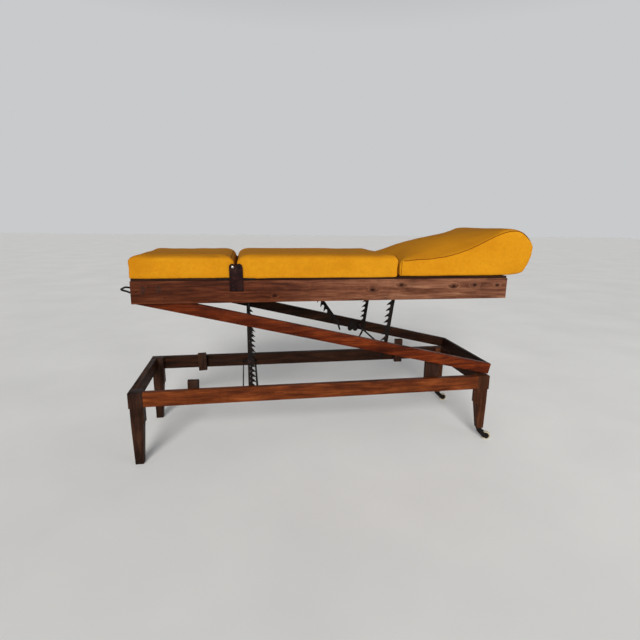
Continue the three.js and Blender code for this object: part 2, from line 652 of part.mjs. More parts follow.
function sectionArm(pinX, towards, sign) {
  const shape = new THREE.Shape();
  const half = 8;
  const bottom = TOP_Z + 0.6;
  shape.moveTo(pinX, bottom);
  shape.lineTo(pinX + towards * 70, bottom);
  shape.lineTo(pinX + towards * 70, BOARD_TOP);
  shape.lineTo(pinX + towards * half, BOARD_TOP + 2);
  shape.lineTo(pinX + half * towards, SECTION_PIN_Z);
  if (towards > 0) {
    shape.absarc(pinX, SECTION_PIN_Z, half, 0, Math.PI, false);
  } else {
    shape.absarc(pinX, SECTION_PIN_Z, half, Math.PI, 0, true);
  }
  shape.lineTo(pinX - towards * half, BOARD_TOP + 4);
  shape.closePath();
  const strap = plateY(shape, sign * (HALF_WIDTH - GAP), sign * (HALF_WIDTH - 2.6));
  const stud = barY(pinX, SECTION_PIN_Z, 4, sign * (HALF_WIDTH - 2), sign * (HALF_WIDTH + 6.5));
  return joined([strap, stud]);
}

function underBracket(pivot, width, halfGap) {
  const top = BOARD_BOTTOM - GAP;
  const plate = block(pivot.x - width, pivot.x + width, -halfGap - 5, halfGap + 5, top - 3, top);
  const cheeks = [-1, 1].map((sign) => {
    return block(pivot.x - 8, pivot.x + 8, sign * halfGap, sign * (halfGap + 4), pivot.z - 8, top - 1);
  });
  const pin = barY(pivot.x, pivot.z, SHAFT_RADIUS - 1, -halfGap - 2, halfGap + 2, 16);
  return joined([plate, ...cheeks, pin]);
}

function buildLegSection() {
  const section = groupAt(assembly, 0, 0);
  const boardHalf = HALF_WIDTH - 3.2;
  const board = block(TOP_FOOT_X - 2, LEG_PIN_X - 1, -boardHalf, boardHalf, BOARD_BOTTOM, BOARD_TOP);
  addPart(section, 'leg_board', board, boardWood);
  const shape = cushionShape(43, 470, CUSHION_BOTTOM, CUSHION_TOP, 24, CUSHION_CORNER);
  addPart(section, 'leg_cushion', cushion(shape), fabric);
  for (const side of SIDES) {
    addPart(section, `leg_hinge_arm_${side.name}`, sectionArm(LEG_PIN_X, -1, side.sign), iron);
  }
  addPart(section, 'leg_stay_bracket', underBracket(LEG_STAY_PIVOT, 20, 3.6), iron);
  addPart(section, 'leg_stay', stayGeometry(), iron);
}

// The leg section's notched stay, lying flat over its catch bar.
function stayGeometry() {
  const half = LEG_STAY_HALF_WIDTH;
  const { x, z } = LEG_STAY_PIVOT;
  const shape = new THREE.Shape();
  shape.moveTo(x, z - half);
  for (let i = 0; i < 6; i += 1) {
    const start = x + 95 + i * 24;
    shape.lineTo(start, z - half);
    shape.lineTo(start + 4, z - half + 5);
    shape.lineTo(start + 10, z - half + 5);
    shape.lineTo(start + 12, z - half);
  }
  shape.lineTo(x + LEG_STAY_LENGTH, z - half);
  shape.lineTo(x + LEG_STAY_LENGTH, z + half - 3);
  shape.lineTo(x + LEG_STAY_LENGTH - 6, z + half);
  shape.lineTo(x, z + half);
  shape.absarc(x, z, half, Math.PI / 2, Math.PI * 1.5, false);
  return cut(plateY(shape, -3, 3), [barY(x, z, SHAFT_RADIUS - 1 + GAP, -5, 5)]);
}

// The head cushion's side outline: level over the shoulders, then a long rise to a rounded crest
// that overhangs the end of the frame.
function headShape() {
  const shape = new THREE.Shape();
  const z0 = CUSHION_BOTTOM;
  shape.moveTo(1216, z0);
  shape.lineTo(1742, z0);
  shape.lineTo(1822, z0 + 6);
  shape.quadraticCurveTo(1864, z0 + 70, 1868, 981);
  shape.bezierCurveTo(1845, 1030, 1810, 1062, 1750, 1062);
  shape.bezierCurveTo(1660, 1062, 1560, 940, 1370, 930);
  for (const share of [0.75, 0.5, 0.25, 0]) {
    shape.lineTo(1240 + 130 * share, 924 + 6 * share);
  }
  shape.quadraticCurveTo(1213, 922, 1211, 896);
  shape.closePath();
  return shape;
}

// The head cushion: its stuffing lifts the cover above the hollow line of its side panels.
function headCushion() {
  const geometry = cushion(headShape(), { curveSegments: 9, steps: 14 });
  const place = geometry.attributes.position;
  for (let i = 0; i < place.count; i += 1) {
    const along = (place.getX(i) - HEAD_CROWN.from) / (HEAD_CROWN.to - HEAD_CROWN.from);
    const across = Math.min(1, Math.abs(place.getY(i)) / CUSHION_HALF_WIDTH);
    if (along > 0 && along < 1 && place.getZ(i) > BOARD_TOP + 50) {
      const lift = Math.sin(Math.PI * along ** HEAD_CROWN.skew) * (1 - across ** HEAD_CROWN.fall);
      place.setZ(i, place.getZ(i) + HEAD_CROWN.rise * lift);
    }
  }
  return geometry;
}

function buildBackSection() {
  const section = groupAt(assembly, 0, 0);
  const boardHalf = HALF_WIDTH - 3.2;
  const board = block(BACK_PIN_X + 1, TOP_HEAD_X + 3, -boardHalf, boardHalf, BOARD_BOTTOM, BOARD_TOP);
  addPart(section, 'back_board', board, boardWood);
  const shape = cushionShape(485, 1199, CUSHION_BOTTOM, CUSHION_TOP + 2, CUSHION_CORNER, 26, 12);
  addPart(section, 'seat_cushion', cushion(shape), fabric);
  addPart(section, 'head_cushion', headCushion(), fabric);
  for (const side of SIDES) {
    addPart(section, `back_hinge_arm_${side.name}`, sectionArm(BACK_PIN_X, 1, side.sign), iron);
  }
  addPart(section, 'back_prop_bracket', underBracket(BACK_PROP_PIVOT, 30, 4.6), iron);
  const prop = groupAt(section, BACK_PROP_PIVOT.x, BACK_PROP_PIVOT.z, -BACK_PROP_LEAN);
  const rack = {
    length: BACK_PROP_LENGTH,
    halfWidth: BACK_PROP_HALF_WIDTH,
    tooth: BACK_TOOTH,
    pitch: 29,
    firstTooth: 66,
    teeth: 7,
    hook: true,
    side: -1,
    eyeHole: SHAFT_RADIUS - 1 + GAP,
  };
  addPart(prop, 'back_prop', rackAt(rack, 0), iron);
}

buildBase();
buildCasters();
const HEAD_HINGE = groupAt(assembly, LIFT_PIN.x, LIFT_PIN.z);
addPart(HEAD_HINGE, 'head_hinge_base_leaf', hingeLeaf(-1, false, 34), iron);
buildLiftFrame();
buildTopFrame();
buildLegSection();
buildBackSection();

export default assembly;
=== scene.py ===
import bpy
import bmesh
import json
import math
import numpy as np
from mathutils import Matrix, Vector, noise
from mathutils.bvhtree import BVHTree

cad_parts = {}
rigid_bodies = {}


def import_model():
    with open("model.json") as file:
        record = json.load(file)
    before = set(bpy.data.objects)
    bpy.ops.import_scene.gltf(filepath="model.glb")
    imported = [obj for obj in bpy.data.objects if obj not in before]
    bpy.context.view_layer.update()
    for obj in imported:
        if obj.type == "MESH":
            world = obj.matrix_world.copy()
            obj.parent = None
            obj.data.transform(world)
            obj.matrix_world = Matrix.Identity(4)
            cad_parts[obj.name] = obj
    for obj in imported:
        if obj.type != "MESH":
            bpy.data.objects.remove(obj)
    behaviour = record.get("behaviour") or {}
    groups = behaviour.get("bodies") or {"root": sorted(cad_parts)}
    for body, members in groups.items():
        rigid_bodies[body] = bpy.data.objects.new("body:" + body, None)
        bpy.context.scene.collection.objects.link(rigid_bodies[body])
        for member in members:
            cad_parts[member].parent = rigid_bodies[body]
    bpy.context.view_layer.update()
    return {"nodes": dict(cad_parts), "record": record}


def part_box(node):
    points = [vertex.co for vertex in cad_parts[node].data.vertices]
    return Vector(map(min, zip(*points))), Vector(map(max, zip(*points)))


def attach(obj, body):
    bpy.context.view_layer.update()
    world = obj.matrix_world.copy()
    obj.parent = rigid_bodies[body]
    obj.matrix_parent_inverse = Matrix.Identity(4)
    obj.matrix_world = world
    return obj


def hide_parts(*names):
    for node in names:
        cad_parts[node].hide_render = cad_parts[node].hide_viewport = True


for leftover in list(bpy.data.objects):
    bpy.data.objects.remove(leftover)
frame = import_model()

# ---------- frame of reference ----------
# Lengths along X are given from the foot end of the base, like the solids' own layout.
FOOT_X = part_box("leg_foot_left")[0].x
HALF_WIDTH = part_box("top_side_rail_right")[1].y
BODY_OF = {n: b for b, ns in frame["record"]["behaviour"]["bodies"].items() for n in ns}
SLOT_OF = {s["node"]: s["material_slot"] for s in frame["record"]["subparts"]}


def at(x, y, z):
    """A point given in millimetres from the foot end of the base, the centre plane and the floor."""
    return Vector((FOOT_X + x / 1000, y / 1000, z / 1000))


# ---------- materials ----------
class Shader:
    """A material's node tree with short calls for the nodes this scene uses."""

    def __init__(self, name):
        self.material = bpy.data.materials.new(name)
        self.material.use_nodes = True
        self.tree = self.material.node_tree
        self.surface = next(n for n in self.tree.nodes if n.type == "BSDF_PRINCIPLED")
        self.coords = self.node("ShaderNodeTexCoord").outputs["Object"]

    def node(self, kind, inputs=None, **settings):
        made = self.tree.nodes.new(kind)
        for key, value in settings.items():
            setattr(made, key, value)
        for key, value in (inputs or {}).items():
            self.feed(made.inputs[key], value)
        return made

    def feed(self, socket, value):
        if isinstance(value, bpy.types.NodeSocket):
            self.tree.links.new(value, socket)
        else:
            socket.default_value = value

    def scaled(self, vector, scale):
        return self.node("ShaderNodeMapping", {"Vector": vector, "Scale": scale}).outputs[0]

    def noise(self, vector, scale, detail=4.0, rough=0.55, distort=0.0):
        return self.node("ShaderNodeTexNoise", {
            "Vector": vector, "Scale": scale, "Detail": detail, "Roughness": rough, "Distortion": distort,
        }).outputs["Fac"]

    def math(self, operation, a, b=0.0):
        return self.node("ShaderNodeMath", {0: a, 1: b}, operation=operation).outputs[0]

    def vector(self, operation, a, b=(0.0, 0.0, 0.0)):
        return self.node("ShaderNodeVectorMath", {0: a, 1: b}, operation=operation)

    def range(self, value, low, high, out_low=0.0, out_high=1.0):
        return self.node("ShaderNodeMapRange", {
            "Value": value, "From Min": low, "From Max": high, "To Min": out_low, "To Max": out_high,
        }).outputs[0]

    def ramp(self, value, stops):
        made = self.node("ShaderNodeValToRGB", {"Fac": value})
        ramp = made.color_ramp
        while len(ramp.elements) < len(stops):
            ramp.elements.new(0.5)
        for element, (place, colour) in zip(ramp.elements, stops):
            element.position = place
            element.color = (*colour, 1)
        return made.outputs[0]

    def mix(self, share, a, b):
        made = self.node("ShaderNodeMix", data_type="RGBA")
        for key, value in ((0, share), (6, a), (7, b)):
            if key and not isinstance(value, bpy.types.NodeSocket):
                value = (*value, 1)
            self.feed(made.inputs[key], value)
        return made.outputs[2]

    def bump(self, height, distance, strength):
        normal = self.node("ShaderNodeBump", {"Height": height, "Distance": distance, "Strength": strength})
        self.feed(self.surface.inputs["Normal"], normal.outputs[0])

    def set(self, **values):
        for key, value in values.items():
            socket = self.surface.inputs[key.replace("_", " ")]
            self.feed(socket, (*value, 1) if isinstance(value, tuple) and len(value) == 3 else value)
        return self.material


def rgb(r, g, b):
    """A linear colour from display values 0 to 255."""
    return tuple(((v / 255 + 0.055) / 1.055) ** 2.4 if v > 10 else v / 255 / 12.92 for v in (r, g, b))


GRAIN = {"X": (1.0, 9.0, 9.0), "Y": (9.0, 1.0, 9.0), "Z": (9.0, 9.0, 1.0)}
WOOD_SHINE = 0.05
TONE_STOPS = (0.36, 0.5, 0.66)
KNOT_FLATTENING = 1.6
KNOT_HALO = 3.2
# Shift of the painted sheen's X range.
FADE_SHIFT = 0.25


def stretched(axis, power, factor=1.0):
    """Texture scales that draw noise out into lines along one axis."""
    return tuple(v ** power * factor if v > 1 else v * factor for v in GRAIN[axis])


def brighter(colour, share, add=0.0):
    return tuple(min(1.0, c * share + add) for c in colour)


def knot_field(s, knots):
    """How near a point is to the closest knot, 0 far away and 1 in its middle."""
    halo = None
    flat = s.vector("MULTIPLY", s.coords, (1.0, 0.0, KNOT_FLATTENING)).outputs[0]
    for x, z, radius in knots:
        centre = at(x, 0, z)
        spot = (centre.x, 0.0, centre.z * KNOT_FLATTENING)
        away = s.vector("DISTANCE", flat, spot).outputs["Value"]
        near = s.range(away, radius * KNOT_HALO, 0.0)
        halo = near if halo is None else s.math("MAXIMUM", halo, near)
    return halo


def wood(name, axis, tones, roughness, seed, knots=(), flecks=0.0, sheen_along_x=None):
    """Old stained softwood; the last argument, if given, is an X range and the tones that the colour fades
    towards along it, a painted sheen.
    """
    s = Shader(name)
    place = s.vector("ADD", s.coords, (seed, seed * 0.7, seed * 1.3)).outputs[0]
    along = s.scaled(place, GRAIN[axis])
    ring_input = along
    halo = knot_field(s, knots) if knots else None
    if knots:
        push = s.math("MULTIPLY", s.math("POWER", halo, 1.6), 0.55)
        offset = s.node("ShaderNodeCombineXYZ", {"Y": push, "Z": push}).outputs[0]
        ring_input = s.vector("ADD", along, offset).outputs[0]
    rings = s.noise(ring_input, 5.5, 3.0, 0.6, 0.5)
    fine = s.noise(s.scaled(place, stretched(axis, 2, 1.4)), 5.0, 5.0, 0.7)
    broad = s.noise(s.scaled(place, (1.6, 3.0, 3.0)), 2.6, 3.0, 0.6)
    tone = s.math("ADD", s.math("MULTIPLY", rings, 0.55), s.math("MULTIPLY", fine, 0.45))
    dark, _, light = tones
    colour = s.ramp(tone, list(zip(TONE_STOPS, tones)))
    # Painted sheen: the colour lightens along X towards paler tones, standing in for light reflected off
    # the rail's far end.
    if sheen_along_x:
        x0, x1, sheen_tones = sheen_along_x
        pale = s.ramp(tone, list(zip(TONE_STOPS, sheen_tones)))
        position = s.node("ShaderNodeSeparateXYZ", {0: s.coords}).outputs[0]
        edge = s.math("ADD", position, s.math("MULTIPLY", broad, 0.5))
        colour = s.mix(s.range(edge, x0 + FADE_SHIFT, x1 + FADE_SHIFT), colour, pale)
    colour = s.mix(s.range(broad, 0.42, 0.66, 0.0, 0.7), colour, s.mix(0.55, colour, dark))
    pores = s.noise(s.scaled(place, stretched(axis, 2, 4.0)), 9.0, 2.0, 0.5)
    pore_mask = s.range(pores, 0.58, 0.74)
    colour = s.mix(s.math("MULTIPLY", pore_mask, 0.55), colour, brighter(dark, 0.3))
    if flecks:
        fleck = s.noise(s.scaled(place, stretched(axis, 2)), 14.0, 1.0, 0.4)
        colour = s.mix(s.range(fleck, 0.66, 0.75, 0.0, flecks), colour, brighter(light, 1.8))
    if knots:
        colour = s.mix(s.range(halo, 0.3, 0.6, 0.0, 0.45), colour, brighter(dark, 0.6))
        colour = s.mix(s.range(halo, 0.62, 0.85, 0.0, 0.85), colour, brighter(dark, 0.25))
    scuff = s.noise(s.coords, 26.0, 5.0, 0.7)
    colour = s.mix(s.range(scuff, 0.62, 0.8, 0.0, 0.28), colour, brighter(light, 1.35, 0.006))
    grime = s.noise(s.coords, 9.0, 6.0, 0.72)
    colour = s.mix(s.range(grime, 0.5, 0.72, 0.0, 0.5), colour, brighter(dark, 0.5))
    shine = s.range(s.noise(s.coords, 11.0, 4.0, 0.6), 0.3, 0.7, roughness - 0.09, roughness + 0.16)
    height = s.math("SUBTRACT", s.math("MULTIPLY", tone, 0.7), s.math("MULTIPLY", pore_mask, 0.5))
    s.bump(height, 0.0009, 0.6)
    return s.set(Base_Color=colour, Roughness=shine, Specular_IOR_Level=WOOD_SHINE)


def black_iron(name, tones, rust=0.3, roughness=0.55, metallic=0.08, specular=0.08):
    """Blackened iron, uneven from the forge, with rust in patches."""
    s = Shader(name)
    patches = s.noise(s.coords, 34.0, 6.0, 0.65)
    speckle = s.noise(s.coords, 240.0, 4.0, 0.6)
    colour = s.ramp(patches, list(zip((0.3, 0.55, 0.75), tones)))
    colour = s.mix(s.range(patches, 0.58, 0.78, 0.0, rust), colour, rgb(74, 36, 20))
    shine = s.range(speckle, 0.3, 0.7, roughness - 0.1, roughness + 0.18)
    s.bump(s.math("ADD", s.math("MULTIPLY", patches, 0.6), s.math("MULTIPLY", speckle, 0.4)), 0.0008, 0.6)
    return s.set(Base_Color=colour, Metallic=metallic, Roughness=shine, Specular_IOR_Level=specular)


def wool(name, warm, deep, pale):
    """Plain woven wool: two sets of threads, slight unevenness of the dye and painted shade on the upward
    faces.
    """
    s = Shader(name)
    mottle = s.noise(s.coords, 6.0, 4.0, 0.6)
    blotch = s.noise(s.coords, 60.0, 5.0, 0.75)
    fuzz = s.noise(s.coords, 700.0, 3.0, 0.7)
    threads = {"Distortion": 1.2, "Detail": 1.0}
    warp_setting = {"Vector": s.coords, "Scale": 300.0, **threads}
    warp = s.node("ShaderNodeTexWave", warp_setting, bands_direction="X").outputs["Fac"]
    across = s.vector("MULTIPLY", s.coords, (0.0, 1.0, 1.0)).outputs[0]
    weft_setting = {"Vector": across, "Scale": 220.0, **threads}
    weft = s.node("ShaderNodeTexWave", weft_setting, bands_direction="DIAGONAL").outputs["Fac"]
    weave = s.math("MULTIPLY", warp, weft)
    colour = s.ramp(mottle, [(0.3, deep), (0.5, warm), (0.7, pale)])
    colour = s.mix(s.range(blotch, 0.35, 0.68, 0.0, 0.5), colour, brighter(deep, 0.86))
    colour = s.mix(s.range(weave, 0.0, 0.6, 0.22, 0.0), colour, brighter(deep, 0.5))
    colour = s.mix(s.range(fuzz, 0.35, 0.7, 0.14, 0.0), colour, brighter(deep, 0.55))
    # Painted shade: faces turned upwards are mixed towards a darker tone, standing in for the weaker light
    # on the pad tops.
    normal = s.node("ShaderNodeNewGeometry").outputs["Normal"]
    upward = s.node("ShaderNodeSeparateXYZ", {0: normal}).outputs[2]
    colour = s.mix(s.range(upward, 0.3, 0.95, 0.0, 0.62), colour, brighter(deep, 0.72, 0.004))
    height = s.math("ADD", s.math("MULTIPLY", weave, 0.7), s.math("MULTIPLY", fuzz, 0.5))
    s.bump(height, 0.0009, 0.7)
    rough = s.range(mottle, 0.3, 0.7, 0.86, 0.97)
    return s.set(Base_Color=colour, Roughness=rough, Specular_IOR_Level=0.06)


def plain(name, colour, roughness, metallic, scale, specular=0.2):
    """One colour broken up by fine grit."""
    s = Shader(name)
    grit = s.noise(s.coords, scale, 5.0, 0.65)
    tint = s.mix(s.range(grit, 0.35, 0.7, 0.0, 0.5), colour, tuple(c * 0.55 for c in colour))
    s.bump(grit, 0.0005, 0.6)
    shine = s.range(grit, 0.3, 0.7, roughness - 0.08, roughness + 0.12)
    return s.set(Base_Color=tint, Metallic=metallic, Roughness=shine, Specular_IOR_Level=specular)


TOP = [rgb(40, 16, 8), rgb(74, 35, 19), rgb(112, 62, 38)]
# Painted sheen: lighter tones for the reflecting end of the top side rails.
TOP_SHEEN_TONES = [rgb(66, 34, 21), rgb(112, 70, 50), rgb(150, 106, 80)]
LIFT = [rgb(46, 14, 4), rgb(82, 30, 9), rgb(130, 58, 20)]
BASE = [rgb(50, 21, 8), rgb(92, 42, 17), rgb(132, 70, 32)]
BASE_CROSS = [rgb(28, 14, 8), rgb(54, 29, 17), rgb(82, 50, 32)]
LIFT_CROSS = [rgb(20, 10, 6), rgb(36, 19, 11), rgb(56, 33, 20)]
FOOT_LEG = [rgb(24, 13, 9), rgb(44, 26, 18), rgb(70, 44, 30)]
HEAD_LEG = [rgb(36, 18, 10), rgb(68, 37, 21), rgb(98, 58, 36)]
# Painted shade: darker tones for the far side rails of the lift and base, standing in for the shadow of the
# top.
SHADED_FAR_TONES = [rgb(20, 10, 6), rgb(38, 21, 12), rgb(64, 37, 22)]
BOARD = [rgb(24, 13, 9), rgb(44, 26, 18), rgb(66, 42, 28)]
TOP_KNOTS = [
    (1080, 785, 0.013), (1215, 805, 0.010), (1470, 797, 0.012), (1575, 802, 0.011), (1690, 800, 0.009),
    (640, 765, 0.008),
]
# Painted sheen: X range over which the top side rails grow lighter, and the tones they reach.
TOP_SHEEN = (-0.35, 0.3, TOP_SHEEN_TONES)
MATERIALS = {
    ("top_wood", "X"): wood("top_wood_long", "X", TOP, 0.42, 0.3, TOP_KNOTS, sheen_along_x=TOP_SHEEN),
    ("top_wood", "Y"): wood("top_wood_cross", "Y", TOP, 0.5, 1.3),
    ("lift_wood", "X"): wood("lift_wood_long", "X", LIFT, 0.4, 2.1, flecks=0.35),
    ("lift_wood", "Y"): wood("lift_wood_cross", "Y", LIFT_CROSS, 0.48, 2.7),
    ("base_wood", "X"): wood("base_wood_long", "X", BASE, 0.42, 3.4, flecks=0.2),
    ("base_wood", "Y"): wood("base_wood_cross", "Y", BASE_CROSS, 0.48, 4.2),
    ("leg_wood", "Z"): wood("leg_wood_upright", "Z", FOOT_LEG, 0.46, 5.1),
    ("board_wood", "X"): wood("board_wood_long", "X", BOARD, 0.65, 6.3),
}
HEAD_LEG_WOOD = wood("leg_wood_head", "Z", HEAD_LEG, 0.46, 5.9)
# Painted shade: darker copies of the lift and base wood for the far side rails.
SHADED_FAR_LIFT = wood("lift_wood_far_shaded", "X", SHADED_FAR_TONES, 0.48, 7.7)
SHADED_FAR_BASE = wood("base_wood_far_shaded", "X", SHADED_FAR_TONES, 0.48, 8.3)
IRON = black_iron("iron", [rgb(12, 9, 8), rgb(21, 16, 14), rgb(36, 26, 22)])
PLATE_TONES = [rgb(20, 10, 10), rgb(31, 16, 15), rgb(46, 26, 24)]
PLATE_IRON = black_iron("plate_iron", PLATE_TONES, 0.15, 0.5, 0.0, 0.04)
BRIGHT = plain("worn_pin_head", rgb(176, 168, 160), 0.32, 0.9, 300.0)
SCREW = plain("screw_metal", rgb(34, 22, 18), 0.5, 0.1, 300.0, specular=0.08)
PATCH = plain("screw_patch", rgb(62, 34, 23), 0.6, 0.0, 60.0, specular=0.05)
FABRIC = wool("mustard_wool", rgb(203, 137, 21), rgb(188, 121, 14), rgb(210, 146, 26))
SEAM = plain("seam_piping", rgb(88, 28, 8), 0.9, 0.0, 400.0, specular=0.05)
TYRE_BLACK = rgb(20, 18, 17)
TYRE_CREAM = rgb(196, 184, 158)
TYRE_SOILED = rgb(104, 90, 70)
TYRE_RIM_INNER = 0.0062
TYRE_RIM_OUTER = 0.0050
GRAIN_AXIS = {"side_rail": "X", "end_rail": "Y", "slat": "Y", "board": "X"}


def tyre(node):
    """A caster wheel's black cheek with a pale worn rim, told apart by distance from the axle."""
    joint = next(j for j in frame["record"]["behaviour"]["joints"] if j["child"] == BODY_OF[node])
    axle = tuple(Vector(joint["axis"]).normalized())
    radius = (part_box(node)[1].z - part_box(node)[0].z) / 2
    s = Shader(f"{node}_rubber")
    arm = s.vector("SUBTRACT", s.coords, tuple(joint["pos_m"])).outputs[0]
    away = s.vector("CROSS_PRODUCT", arm, axle).outputs[0]
    reach = s.vector("LENGTH", away).outputs["Value"]
    grit = s.noise(s.coords, 160.0, 5.0, 0.65)
    pale = s.mix(s.range(grit, 0.35, 0.7, 0.0, 0.6), TYRE_CREAM, TYRE_SOILED)
    rim = s.range(reach, radius - TYRE_RIM_INNER, radius - TYRE_RIM_OUTER)
    colour = s.mix(rim, TYRE_BLACK, pale)
    return s.set(Base_Color=colour, Roughness=0.55, Specular_IOR_Level=0.1)


# ---------- carried-over solids with worn edges ----------
WOOD_WEAR = 0.0016
BOARD_WEAR = 0.001
IRON_WEAR = 0.0006
WHEEL_WEAR = 0.0004
BOARD_DRAWN_IN = 0.004
WORN_IRON = ("rack", "stay", "prop", "plate", "arm", "yoke", "keeper", "handle")


def grain_of(node):
    """The axis a wooden piece's grain runs along; the legs stand upright."""
    return next((axis for key, axis in GRAIN_AXIS.items() if key in node), "Z")


def material_for(node):
    kind = SLOT_OF[node]
    if kind == "iron":
        return PLATE_IRON if "section_hinge_plate" in node else IRON
    if kind == "caster_tread":
        return tyre(node)
    if kind == "leg_wood" and "head" in node:
        return HEAD_LEG_WOOD
    # Painted shade: the far side rails take their darker shaded copies of the wood.
    if node == "lift_side_rail_right":
        return SHADED_FAR_LIFT
    if node == "base_side_rail_right":
        return SHADED_FAR_BASE
    return MATERIALS[(kind, grain_of(node))]


def clean_copy(node, name):
    """The CAD node's mesh as a new object with its triangles merged back into flat faces."""
    source = frame["nodes"][node]
    mesh = source.data.copy()
    work = bmesh.new()
    work.from_mesh(mesh)
    bmesh.ops.remove_doubles(work, verts=work.verts, dist=2e-5)
    bmesh.ops.dissolve_limit(work, angle_limit=math.radians(1.5), verts=work.verts, edges=work.edges)
    for face in work.faces:
        face.smooth = True
    work.to_mesh(mesh)
    work.free()
    made = bpy.data.objects.new(name, mesh)
    bpy.context.scene.collection.objects.link(made)
    return made


def worn(node, width, inset=0.0):
    """Stands for a CAD node: the same solid with its edges rounded by use, drawn in by inset if given."""
    made = clean_copy(node, node + ".worn")
    if inset:
        low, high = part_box(node)
        middle, half = (low + high) / 2, (high - low) / 2
        for vertex in made.data.vertices:
            for k in range(2):
                vertex.co[k] = middle[k] + (vertex.co[k] - middle[k]) * (half[k] - inset) / half[k]
    made.data.materials.clear()
    made.data.materials.append(material_for(node))
    bevel = made.modifiers.new("edges", "BEVEL")
    bevel.width = width
    bevel.segments = 2
    bevel.limit_method = "ANGLE"
    bevel.angle_limit = math.radians(32)
    bevel.harden_normals = True
    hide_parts(node)
    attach(made, BODY_OF[node])
    return made


def build_solids():
    """Every hard CAD node gets its material, and worn edges where they show."""
    for node in sorted(BODY_OF):
        kind = SLOT_OF[node]
        if kind == "upholstery":
            continue
        if kind == "caster_tread":
            worn(node, WHEEL_WEAR)
        elif kind in ("top_wood", "lift_wood", "base_wood", "leg_wood"):
            worn(node, WOOD_WEAR)
        elif kind == "board_wood":
            worn(node, BOARD_WEAR, BOARD_DRAWN_IN)
        elif any(key in node for key in WORN_IRON):
            worn(node, IRON_WEAR)
        else:
            frame["nodes"][node].data.materials.clear()
            frame["nodes"][node].data.materials.append(material_for(node))


# ---------- small fittings ----------
# Places are (x, z) in millimetres on the outer face of the top side rail.
PATCHES = {"a": (96, 797), "b": (158, 800)}
NAILS = ((70, 789), (77, 775), (120, 812), (182, 764))
PLATE_SCREWS = ((464, 812), (502, 811), (466, 796), (500, 797))
PIN_HEADS = {"leg": (464, 891), "back": (489, 891)}
PLATE_FACE = 0.0043
PIN_FACE = 0.0064
PATCH_HALF_HEIGHT = 0.017
PATCH_BOW = 0.013
PATCH_STRAIGHT = 0.008
PATCH_ARC_STEPS = 12
PATCH_SCREWS = (0.009, -0.010)


def as_object(name, work, material, body, smooth=True):
    """Turns a bmesh into a piece that rides on a body."""
    mesh = bpy.data.meshes.new(name)
    for face in work.faces:
        face.smooth = smooth
    work.to_mesh(mesh)
    work.free()
    mesh.materials.append(material)
    made = bpy.data.objects.new(name, mesh)
    bpy.context.scene.collection.objects.link(made)
    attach(made, body)
    return made


def dome(name, centre, normal, radius, height, material, body, slotted=None):
    """A low domed head standing on a face; slotted cuts a screwdriver slot at that angle."""
    work = bmesh.new()
    rings, sides = 5, 24
    turn = Vector((0, 0, 1)).rotation_difference(normal).to_matrix()
    rows = []
    for i in range(rings + 1):
        angle = math.pi / 2 * i / rings
        r, h = radius * math.cos(angle), height * math.sin(angle)
        row = []
        for k in range(sides if i < rings else 1):
            a = 2 * math.pi * k / sides
            p = Vector((r * math.cos(a), r * math.sin(a), h))
            if slotted is not None:
                across = abs(-p.x * math.sin(slotted) + p.y * math.cos(slotted))
                if across < radius * 0.16:
                    p.z -= height * 0.55
            row.append(work.verts.new(centre + turn @ p))
        rows.append(row)
    for lower, upper in zip(rows, rows[1:]):
        for k in range(sides):
            a, b = lower[k], lower[(k + 1) % sides]
            if len(upper) == 1:
                work.faces.new((a, b, upper[0]))
            else:
                work.faces.new((a, b, upper[(k + 1) % sides], upper[k]))
    work.faces.new(list(reversed(rows[0])))
    return as_object(name, work, material, body)


def d_patch(name, x, z, side):
    """A thin D-shaped plate let into the rail's outer face, with two screws."""
    y = side * (HALF_WIDTH + 0.0001)
    work = bmesh.new()
    outline = []
    for k in range(PATCH_ARC_STEPS + 1):
        a = -math.pi / 2 + math.pi * k / PATCH_ARC_STEPS
        outline.append((PATCH_BOW * math.cos(a), PATCH_HALF_HEIGHT * math.sin(a)))
    corner = PATCH_HALF_HEIGHT * 0.92
    outline += [(-PATCH_STRAIGHT, corner), (-PATCH_STRAIGHT, -corner)]
    centre = at(x, 0, z)
    front, back = (
        [work.verts.new((centre.x + u, y + side * depth, centre.z + v)) for u, v in outline]
        for depth in (0.0009, -0.0006)
    )
    work.faces.new(front)
    work.faces.new(list(reversed(back)))
    for k in range(len(outline)):
        n = (k + 1) % len(outline)
        work.faces.new((front[k], back[k], back[n], front[n]))
    bmesh.ops.recalc_face_normals(work, faces=work.faces)
    as_object(name, work, PATCH, "top_frame", smooth=False)
    for i, dz in enumerate(PATCH_SCREWS):
        place = Vector((centre.x + 0.001, y + side * 0.0008, centre.z + dz))
        out = Vector((0, side, 0))
        dome(f"{name}.screw{i}", place, out, 0.0034, 0.0011, SCREW, "top_frame", 0.6 + i)


def on_rail(spot, side, proud=0.0):
    """A place on the top side rail's outer face, or proud of it."""
    x, z = spot
    place = at(x, 0, z)
    return Vector((place.x, side * (HALF_WIDTH + proud), place.z))


def build_fittings():
    """Patches, nails, screws and pin heads on both top side rails."""
    for side, label in ((-1, "left"), (1, "right")):
        out = Vector((0, side, 0))
        for key, (x, z) in PATCHES.items():
            d_patch(f"foot_patch_{key}.{label}", x, z, side)
        for i, spot in enumerate(NAILS):
            place = on_rail(spot, side)
            dome(f"nail_{i}.{label}", place, out, 0.0026, 0.0008, IRON, "top_frame")
        for i, spot in enumerate(PLATE_SCREWS):
            place = on_rail(spot, side, PLATE_FACE)
            dome(f"plate_screw_{i}.{label}", place, out, 0.0042, 0.0013, SCREW, "top_frame", 0.9 * i)
        for name, spot in PIN_HEADS.items():
            place = on_rail(spot, side, PIN_FACE)
            head = BRIGHT if name == "leg" else IRON
            dome(f"pin_head_{name}.{label}", place, out, 0.0058, 0.0022, head, f"{name}_section")


